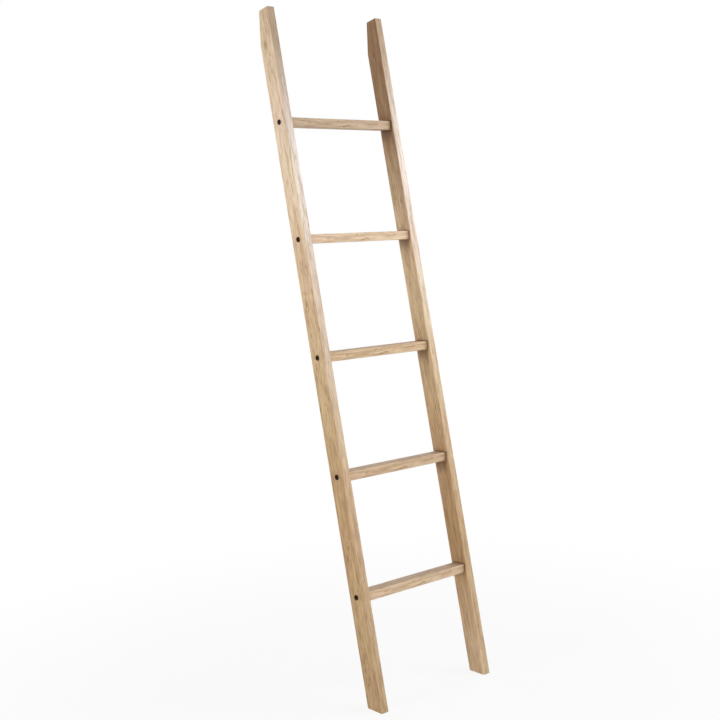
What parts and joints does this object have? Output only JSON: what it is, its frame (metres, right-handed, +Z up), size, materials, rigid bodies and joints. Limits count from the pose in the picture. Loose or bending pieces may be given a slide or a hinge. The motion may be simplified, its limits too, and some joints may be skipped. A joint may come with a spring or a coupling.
{
  "type": "blanket ladder",
  "caption": "Leaning wooden ladder for hanging blankets and towels: rectangular stiles with level feet and plumb wall cuts, level housed rungs, flat-headed bolts.",
  "frame": {"origin": "on the floor, midway between the stiles, and midway between their front foot edges and the wall", "axes": "+X across the ladder to the right stile as seen from the room, +Y towards the wall, +Z up"},
  "size_m": [0.3974, 0.3858, 1.7962],
  "materials": {
    "stile_wood": "weathered pale oak, limed, lengthwise grain with knots, satin",
    "rung_wood": "weathered pale oak, lengthwise grain, satin",
    "dark_bronze": "dark bronze plating, semi-matt",
    "zinc_insert": "zinc plated"
  },
  "bodies": {
    "root": {"left_stile": "stile_wood", "right_stile": "stile_wood", "rung_1": "rung_wood", "rung_2": "rung_wood", "rung_3": "rung_wood", "rung_4": "rung_wood", "rung_5": "rung_wood", "left_bolt_1": "dark_bronze", "left_bolt_2": "dark_bronze", "left_bolt_3": "dark_bronze", "left_bolt_4": "dark_bronze", "left_bolt_5": "dark_bronze", "right_bolt_1": "dark_bronze", "right_bolt_2": "dark_bronze", "right_bolt_3": "dark_bronze", "right_bolt_4": "dark_bronze", "right_bolt_5": "dark_bronze", "left_insert_1": "zinc_insert", "left_insert_2": "zinc_insert", "left_insert_3": "zinc_insert", "left_insert_4": "zinc_insert", "left_insert_5": "zinc_insert", "right_insert_1": "zinc_insert", "right_insert_2": "zinc_insert", "right_insert_3": "zinc_insert", "right_insert_4": "zinc_insert", "right_insert_5": "zinc_insert"}
  },
  "joints": []
}
